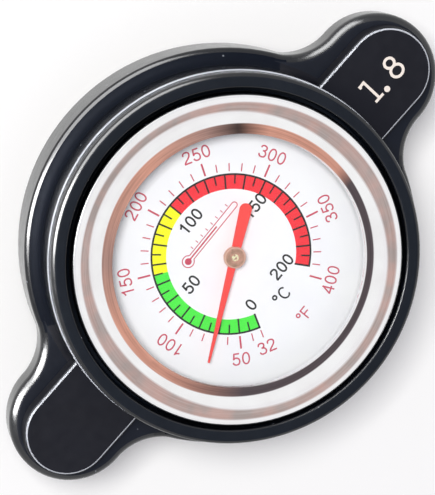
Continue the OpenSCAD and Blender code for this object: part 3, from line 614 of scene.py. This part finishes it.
def print_dial(inks):
    """Coloured bands, ticks and figures of both scales, and a small thermometer sign."""
    inner, outer, edge = 8.58, 10.38, 10.62
    low, high = DIAL_Z + 0.004, DIAL_Z + INK
    for name, start, end in (("green", 0, 65), ("yellow", 65, 100), ("red", 100, 200)):
        band = Print()
        band.ring_part(inner, outer + 0.1, celsius(start), celsius(end))
        band.build("scale_" + name, low, inks[name], DIAL_TURN)

    black = Print()
    black.ring_part(outer, edge, celsius(0) + 0.6, celsius(200) - 0.6)
    for value in range(0, 201, 5):
        start = inner if value % 10 == 0 else inner + 0.68
        black.tick(celsius(value), start, edge - 0.05, 0.22 if value % 10 == 0 else 0.2)
    for value in (0, 200):
        black.tick(celsius(value), inner - 0.05, edge, 0.24)
    for text, x, y in (("0", -3.48, -6.32), ("50", -6.26, 1.68), ("100", 0, 7.03),
                       ("150", 6.7, 1.68), ("200", 2.84, -6.32)):
        black.text(text, (x, y), 1.61, 0, 0.245)
    black.text("oC", (-0.1, -8.8), 1.75, 0, 0.22)
    black.build("scale_black", high, inks["black"], DIAL_TURN)

    crimson = Print()
    for value in [32] + list(range(40, 401, 10)):
        long = value % 50 == 0
        crimson.tick(fahrenheit(value), 10.9, 12.58 if long else 11.94, 0.24 if long else 0.15)
    for text, angle, r in (("32", 240.9, 13.3), ("50", 225.4, 13.95), ("100", 185.2, 14.1),
                           ("150", 142.7, 14.2), ("200", 101.5, 14.2), ("250", 59.4, 13.95),
                           ("300", 17.3, 13.9), ("350", -26.2, 13.9), ("400", -66.3, 13.8)):
        a = math.radians(angle)
        turn = angle - 90 if text in ("100", "150", "200", "250", "300") else angle + 90
        crimson.text(text, (r * math.cos(a), r * math.sin(a)), 1.68, turn, 0.195)
    crimson.text("oF", (-0.19, -12.8), 1.6, 0, 0.18)
    crimson.build("scale_crimson", high, inks["crimson"], DIAL_TURN)

    sign = Print()
    y, half, left, right = 3.9, 0.38, -4.2, 5.2
    bulb = 0.78
    neck = math.degrees(math.asin(half / bulb))
    neck_x = left + bulb * math.cos(math.radians(neck))
    sign.line(oval(left, y, bulb, bulb, neck, 360 - neck, square=1, steps=32), 0.13)
    sign.disc(left, y, 0.45)
    for side in (-1, 1):
        sign.line([(neck_x, y + side * half), (right, y + side * half)], 0.12)
    sign.line(oval(right, y, half, half, -90, 90, square=1, steps=16), 0.12)
    sign.line([(left, y), (1.6, y)], 0.2)
    for k in range(8):
        x = left + 1.7 + k * 1.0
        sign.line([(x, y + half + 0.2), (x, y + half + 0.62)], 0.11)
    sign.build("thermometer_sign", high, inks["crimson"], DIAL_TURN)


def print_pad(material):
    """The pressure in bar, in plain figures on the right-hand ear."""
    one_x, point_x, eight_x = 27.99, 29.5, 32.12
    height = 3.3
    y = -0.08
    figures = Print()
    figures.text(["slab_1"], (one_x, y + 0.15), height, 0, 0.36)
    figures.disc(point_x, y - height / 2 + 0.33, 0.41)
    figures.text(["8"], (eight_x, y), height, 0, 0.37, narrow=1.05)
    figures.build("pressure_figures", PAD_TOP + 0.004, material)


def spring_wire(name, node, radius, turns, z0, z1, wire, end_pitch, material):
    """A smooth round-wire spring in place of the CAD one, riding on that spring's body."""
    rise = z1 - z0 - wire
    middle = (rise - 2 * end_pitch) / (turns - 2) if turns > 2 else rise / turns
    around, per_turn = 12, 48
    rings = int(turns * per_turn)
    vertices = []
    for i in range(rings + 1):
        turn = i / per_turn
        if turn <= 1:
            height = turn * end_pitch
        elif turn >= turns - 1:
            height = rise - (turns - turn) * end_pitch
        else:
            height = end_pitch + (turn - 1) * middle
        a = 2 * math.pi * turn
        for k in range(around):
            b = 2 * math.pi * k / around
            r = radius + wire / 2 * math.cos(b)
            vertices.append((r * math.cos(a), r * math.sin(a),
                             z0 + wire / 2 + height + wire / 2 * math.sin(b)))
    faces = []
    for i in range(rings):
        for k in range(around):
            n = (k + 1) % around
            faces.append((i * around + k, (i + 1) * around + k, (i + 1) * around + n, i * around + n))
    faces.append(tuple(range(around)))
    faces.append(tuple(rings * around + k for k in reversed(range(around))))
    piece = make_piece(name, vertices, faces, material, nodes[node]["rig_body"], True)
    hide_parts(node)
    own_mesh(piece)
    return piece


def add_floor():
    """A white table top that keeps the soft shadow."""
    mesh = bpy.data.meshes.new("floor")
    half = 1.5
    corners = [(-half, -half), (half, -half), (half, half), (-half, half)]
    mesh.from_pydata([(x, y, (FLOOR_Z - 0.02) * MM) for x, y in corners], [], [(0, 1, 2, 3)])
    floor = bpy.data.objects.new("floor", mesh)
    scene.collection.objects.link(floor)
    s = Surface("white_table", (0.94, 0.94, 0.94, 1), roughness=0.8, Specular_IOR_Level=0.05)
    s.bump(s.noise(0.8), 0.003)
    glow = s.add("ShaderNodeEmission", {"Color": (1, 1, 1, 1), "Strength": 1.0})
    path = s.add("ShaderNodeLightPath").outputs
    far = s.remap(s.radius(), 0.05, 0.3, 0.06, 1.0, smooth=True)
    share = s.maths("ADD", s.maths("MULTIPLY", path["Is Camera Ray"], far), path["Is Glossy Ray"])
    top = s.add("ShaderNodeMixShader", {0: share, 1: s.shader.outputs[0], 2: glow.outputs[0]})
    below = s.add("ShaderNodeBsdfTransparent").outputs[0]
    mix = s.add("ShaderNodeMixShader", {
        0: s.add("ShaderNodeNewGeometry").outputs["Backfacing"], 1: top.outputs[0], 2: below})
    s.tree.links.new(mix.outputs[0], s.tree.nodes["Material Output"].inputs["Surface"])
    mesh.materials.append(s.material)


def add_lamp(name, azimuth, height, size, power, colour=(1, 1, 1), gloss_on=()):
    """A lamp 0.6 m away, turned to the part, of a width and height in metres.

    Where pieces are given it only makes highlights, and only on them. Otherwise it makes none."""
    distance = 0.6
    data = bpy.data.lights.new(name, "AREA")
    data.shape = "RECTANGLE"
    data.size, data.size_y = size
    data.energy = power
    data.color = colour
    lamp = bpy.data.objects.new(name, data)
    flat = math.cos(math.radians(height))
    away = Vector((flat * math.cos(math.radians(azimuth)), flat * math.sin(math.radians(azimuth)),
                   math.sin(math.radians(height))))
    lamp.location = away * distance
    lamp.rotation_euler = (-away).to_track_quat("-Z", "Y").to_euler()
    lamp.visible_glossy = bool(gloss_on)
    lamp.visible_diffuse = not gloss_on
    if gloss_on:
        lit = bpy.data.collections.new(name + "_lights")
        for piece in gloss_on:
            lit.objects.link(piece)
        lamp.light_linking.receiver_collection = lit
    scene.collection.objects.link(lamp)


def add_world():
    """Soft bluish light all round. Reflections see a white room, a little dimmer at the horizon and
    above the dial, and the camera sees white."""
    world = bpy.data.worlds.new("studio")
    scene.world = world
    world.use_nodes = True
    tree = world.node_tree
    new = tree.nodes.new
    link = tree.links.new
    place = new("ShaderNodeTexCoord")

    def zone(direction, from_degrees, to_degrees, inside, outside):
        """Colour inside a cone round a direction, which fades out between two angles."""
        along = new("ShaderNodeVectorMath")
        along.operation = "DOT_PRODUCT"
        along.inputs[1].default_value = direction
        link(place.outputs["Generated"], along.inputs[0])
        share = new("ShaderNodeMapRange")
        share.interpolation_type = "SMOOTHSTEP"
        share.inputs["From Min"].default_value = math.cos(math.radians(to_degrees))
        share.inputs["From Max"].default_value = math.cos(math.radians(from_degrees))
        link(along.outputs["Value"], share.inputs["Value"])
        mix = new("ShaderNodeMix")
        mix.data_type = "RGBA"
        link(share.outputs[0], mix.inputs[0])
        if isinstance(outside, tuple):
            mix.inputs[6].default_value = outside
        else:
            link(outside, mix.inputs[6])
        mix.inputs[7].default_value = inside
        return mix.outputs[2]

    lean = math.radians(-14)
    sky = zone((0, 0, 1), 66, 86, (1.0, 1.0, 1.0, 1), (0.9, 0.9, 0.93, 1))
    sky = zone((0, math.sin(lean), math.cos(lean)), 14, 30, (0.97, 0.96, 0.97, 1), sky)
    path = new("ShaderNodeLightPath")
    around = tree.nodes["Background"]
    around.inputs["Color"].default_value = (0.91, 0.9, 1.0, 1)
    around.inputs["Strength"].default_value = 0.35
    mirrored = new("ShaderNodeBackground")
    link(sky, mirrored.inputs["Color"])
    seen = new("ShaderNodeBackground")
    seen.inputs["Color"].default_value = (1, 1, 1, 1)
    last = around.outputs[0]
    for ray, shader in (("Is Glossy Ray", mirrored), ("Is Camera Ray", seen)):
        mix = new("ShaderNodeMixShader")
        link(path.outputs[ray], mix.inputs[0])
        link(last, mix.inputs[1])
        link(shader.outputs[0], mix.inputs[2])
        last = mix.outputs[0]
    link(last, tree.nodes["World Output"].inputs["Surface"])


def add_camera():
    """The photograph's camera: above the dial, leaning to its upper side, with the ears on a slant."""
    photo_w, photo_h = 435, 495
    dial_px = (231.5, 254.5)
    focal_px = 2325
    distance = 300
    tilt = math.radians(16)
    spin = math.radians(48.5)
    view = Vector((0, math.sin(tilt), math.cos(tilt)))
    right = Vector((math.cos(spin), -math.sin(spin) * math.cos(tilt), math.sin(spin) * math.sin(tilt)))
    up = view.cross(right)
    px = distance / focal_px
    place = (Vector((0, 0, DIAL_Z)) + view * distance - right * (dial_px[0] - photo_w / 2) * px
             + up * (dial_px[1] - photo_h / 2) * px)
    data = bpy.data.cameras.new("photo_camera")
    data.sensor_width = 36
    data.lens = data.sensor_width * focal_px / photo_h
    data.clip_start = 0.01
    camera = bpy.data.objects.new("photo_camera", data)
    camera.matrix_world = Matrix.Translation(place * MM) @ Matrix((right, up, view)).transposed().to_4x4()
    scene.collection.objects.link(camera)
    scene.camera = camera


add_camera()
add_world()
add_floor()

# Finishes of the cover, in the order of their places
cover_finishes = [
    black_surface("cover_black", rgb("0a0d14"), 0.16, 0.22, 0.5, 0.3, round_mm=0.7),
    black_surface("pad_black", rgb("101119"), 0.4, 0.5, 0.12, 0.25),
    edge_surface(),
    black_surface("top_black", rgb("0c121b"), 0.34, 0.42, 0.14, 0.3, round_mm=0.4),
    black_surface("ear_top_black", rgb("11151f"), 0.34, 0.42, 0.14, 0.3),
    black_surface("ear_black", rgb("0a0d14"), 0.14, 0.2, 0.6, 0.3, round_mm=1.2),
    black_surface("skirt_black", rgb("0a0d14"), 0.16, 0.22, 0.4, 0.3),
    black_surface("hollow_black", rgb("10141d"), 0.45, 0.55, 0.02, 0.3),
]

# Finishes of the other pieces
rubber = rubber_surface()
plated = turned_metal("plated_steel", rgb("cfcabd"), 0.28, 0.4)
bare_steel = turned_metal("bare_steel", rgb("c4c6c9"), 0.3, 0.42)
spring_steel = turned_metal("spring_steel", rgb("a9adb3"), 0.25, 0.38)
brass = turned_metal("brass", rgb("c8a25c"), 0.25, 0.38)
inks = {
    "green": ink_surface("ink_green", rgb("4cf046")),
    "yellow": ink_surface("ink_yellow", rgb("ffff10")),
    "red": ink_surface("ink_red", rgb("f8303c")),
    "black": ink_surface("ink_black", rgb("0c0c0e")),
    "crimson": ink_surface("ink_crimson", rgb("cc4a62")),
}

# Cover and bezel, and the lamps
cover = smooth_copy("cover", "cap_body", cover_finishes, 35, cover_finish)
smooth_copy("bezel", "gauge_bezel", [bezel_surface()], 80)
add_lamp("key", 90, 69, (0.15, 0.15), 3.15, colour=(1, 0.99, 0.965))
add_lamp("broad_light", 95, 30, (1.1, 0.56), 24, gloss_on=[cover])
add_lamp("window", 125, 30, (0.26, 0.56), 16, gloss_on=[cover])

# Pieces that keep the solids' own meshes
painted = (
    (glass_surface(), ["gauge_glass"]),
    (dial_surface(), ["dial_plate"]),
    (ink_surface("white_ring", rgb("e8e6e2")), ["dial_spacer"]),
    (ink_surface("pointer_red", rgb("fa4a46"), 0.45), ["pointer"]),
    (hub_surface(), ["pointer_hub"]),
    (turned_metal("brass_tube", rgb("b9805a"), 0.25, 0.4), ["stem_tube"]),
    (rubber, ["neck_gasket", "glass_gasket", "pressure_seal", "shank_ring"]),
    (plated, ["neck_shell", "valve_cage", "valve_cup"]),
    (bare_steel, ["gauge_case", "shell_rivets", "dial_support_ring", "pressure_plate"]),
    (spring_steel, ["diaphragm", "bimetal_coil", "vacuum_clip"]),
    (brass, ["spindle", "stem_fitting", "stem_nut", "stem_plug", "spindle_bearing", "coil_collar",
             "vacuum_valve"]),
)
for material, names in painted:
    for name in names:
        paint(name, material)

# Springs and print
spring_wire("pressure_spring_wire", "pressure_spring", radius=6.9, turns=5, z0=CUP_FLOOR,
            z1=CAGE_ROOF, wire=1.4, end_pitch=1.9, material=spring_steel)
spring_wire("vacuum_spring_wire", "vacuum_spring", radius=4.95, turns=3, z0=CUP_FLOOR,
            z1=CLIP_Z, wire=0.5, end_pitch=0.933, material=spring_steel)
print_dial(inks)
print_pad(ink_surface("figure_white", rgb("efe5dc")))

scene.view_settings.view_transform = "Standard"
